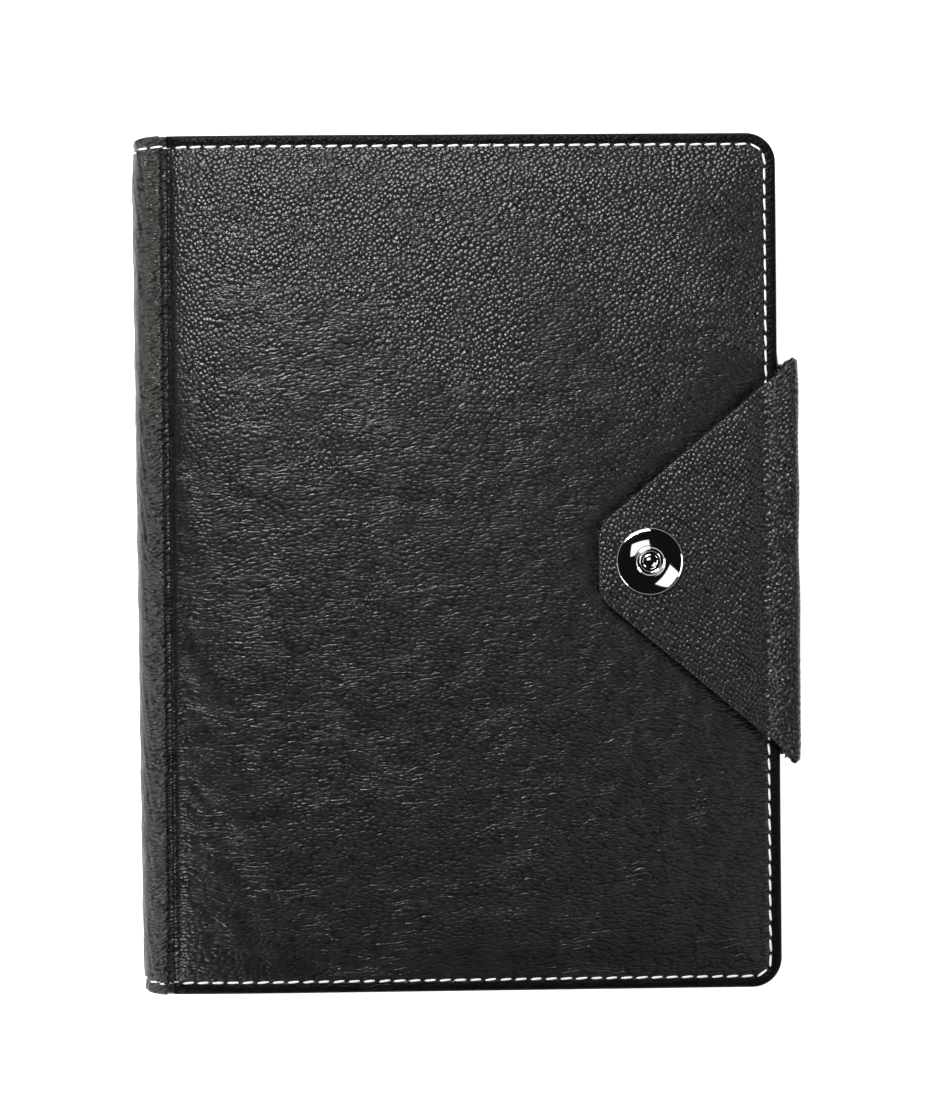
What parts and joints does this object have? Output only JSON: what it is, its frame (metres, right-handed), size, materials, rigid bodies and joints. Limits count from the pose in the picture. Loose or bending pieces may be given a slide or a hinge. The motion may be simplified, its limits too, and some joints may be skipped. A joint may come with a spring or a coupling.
{
  "type": "leather notebook cover",
  "caption": "Padded black leather notebook cover with a hinged spine, sleeves holding a bound notebook, a pen loop, and a pointed flap that closes with a magnetic snap.",
  "frame": {"origin": "middle of the closed cover's footprint, on the underside of the back cover", "axes": "+X towards the fore edge and the flap, +Y towards the head of the book, +Z from the back cover to the front cover"},
  "size_m": [0.181, 0.232, 0.0313],
  "materials": {
    "black_leather": "pebble-grained, semi-matt, white thread",
    "black_lining": "smooth, matt",
    "tan_leather": "smooth, fine-grained, semi-matt",
    "foam": "matt sheet padding",
    "greyboard": "pressed, matt",
    "kraft_card": "smooth kraft",
    "paper": "cream, uncoated",
    "chrome": "mirror polished",
    "nickel": "nickel plated, satin",
    "magnet": "plated magnet, dull"
  },
  "bodies": {
    "back_cover": {"back_cover_leather": "black_leather", "back_padding": "foam", "back_board": "greyboard", "back_lining": "tan_leather", "back_pocket": "tan_leather", "pen_loop": "tan_leather", "flap_tail": "black_leather", "insert_back_cover": "kraft_card", "lower_pages": "paper"},
    "spine": {"spine_leather": "black_leather", "spine_board": "greyboard", "spine_lining": "tan_leather", "insert_spine": "kraft_card"},
    "front_cover": {"front_cover_leather": "black_leather", "front_padding": "foam", "front_board": "greyboard", "front_lining": "tan_leather", "front_pocket": "tan_leather", "card_slot_1": "tan_leather", "card_slot_2": "tan_leather", "card_slot_3": "tan_leather", "snap_socket": "nickel", "snap_magnet": "magnet", "snap_washer": "nickel", "insert_front_cover": "kraft_card"},
    "turned_pages": {"upper_pages": "paper"},
    "flap_strip": {"strip_leather": "black_leather", "strip_lining": "black_lining"},
    "flap": {"flap_leather": "black_leather", "flap_stiffener": "greyboard", "flap_lining": "black_lining", "snap_cap": "chrome", "snap_rivet": "chrome", "snap_stud": "nickel"}
  },
  "joints": [
    {"name": "cover_open", "type": "hinge", "parent": "back_cover", "child": "spine", "pos_m": [-0.086, 0, 0.0022], "axis": [0, -1, 0], "range_deg": [0, 90]},
    {"name": "cover_fold", "type": "hinge", "parent": "spine", "child": "front_cover", "pos_m": [-0.086, 0, 0.0238], "axis": [0, -1, 0], "range_deg": [0, 90]},
    {"name": "page_turn", "type": "hinge", "parent": "back_cover", "child": "turned_pages", "pos_m": [-0.0855, 0, 0.013], "axis": [0, -1, 0], "range_deg": [0, 180]},
    {"name": "strip_fold", "type": "hinge", "parent": "back_cover", "child": "flap_strip", "pos_m": [0.0883, 0, 0.0023], "axis": [0, 1, 0], "range_deg": [0, 90]},
    {"name": "flap_open", "type": "hinge", "parent": "flap_strip", "child": "flap", "pos_m": [0.0883, 0, 0.026], "axis": [0, 1, 0], "range_deg": [0, 85]}
  ],
  "couplings": [
    {"joint": "cover_fold", "follows": "cover_open", "ratio": 1},
    {"joint": "page_turn", "follows": "cover_open", "ratio": 2}
  ]
}
